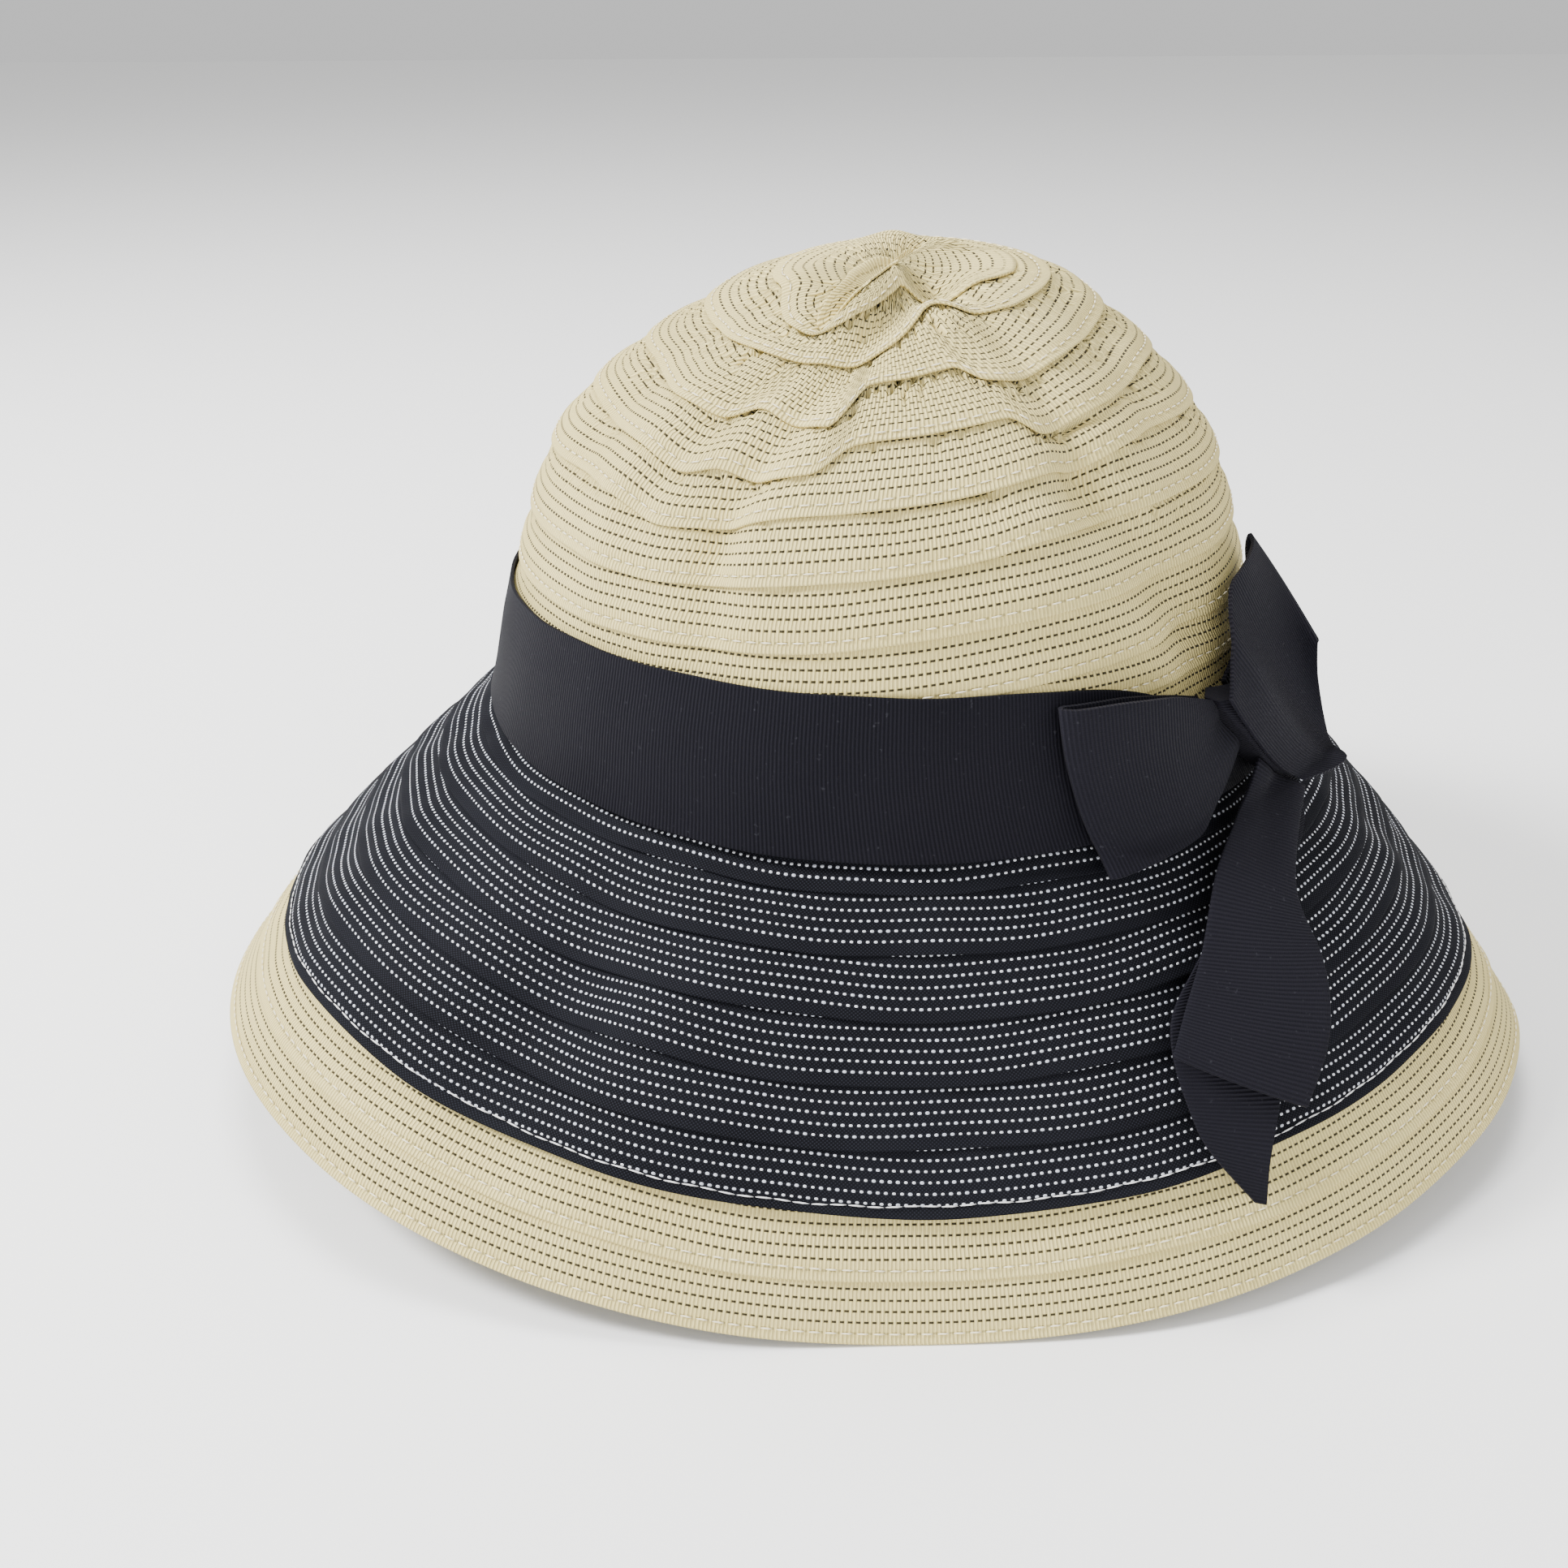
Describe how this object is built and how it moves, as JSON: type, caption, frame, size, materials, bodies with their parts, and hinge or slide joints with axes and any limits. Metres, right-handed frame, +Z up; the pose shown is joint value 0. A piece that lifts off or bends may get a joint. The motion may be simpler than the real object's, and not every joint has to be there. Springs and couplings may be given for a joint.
{
  "type": "sun hat",
  "caption": "Foldable sun hat sewn from overlapping rounds of ribbon, with a domed crown, a sloping downturned brim, a flat ribbon band and a side bow with hanging tails.",
  "frame": {"origin": "under the middle of the hat's outline, on the plane that the rim's low points stand on", "axes": "+Z up, -Y towards the front of the hat, +X towards the wearer's left, where the bow sits"},
  "size_m": [0.3116, 0.3117, 0.1866],
  "materials": {
    "natural_ribbon": "matte ribbed ribbon",
    "navy_ribbon": "matte ribbed ribbon",
    "black_ribbon": "matte ribbed ribbon"
  },
  "bodies": {
    "root": {"crown": "natural_ribbon", "brim": "navy_ribbon", "brim_edge": "natural_ribbon", "hat_band": "black_ribbon", "bow_knot": "black_ribbon", "bow_loop_front": "black_ribbon", "bow_loop_back": "black_ribbon", "bow_tail_upper": "black_ribbon", "bow_tail_under": "black_ribbon"}
  },
  "joints": []
}
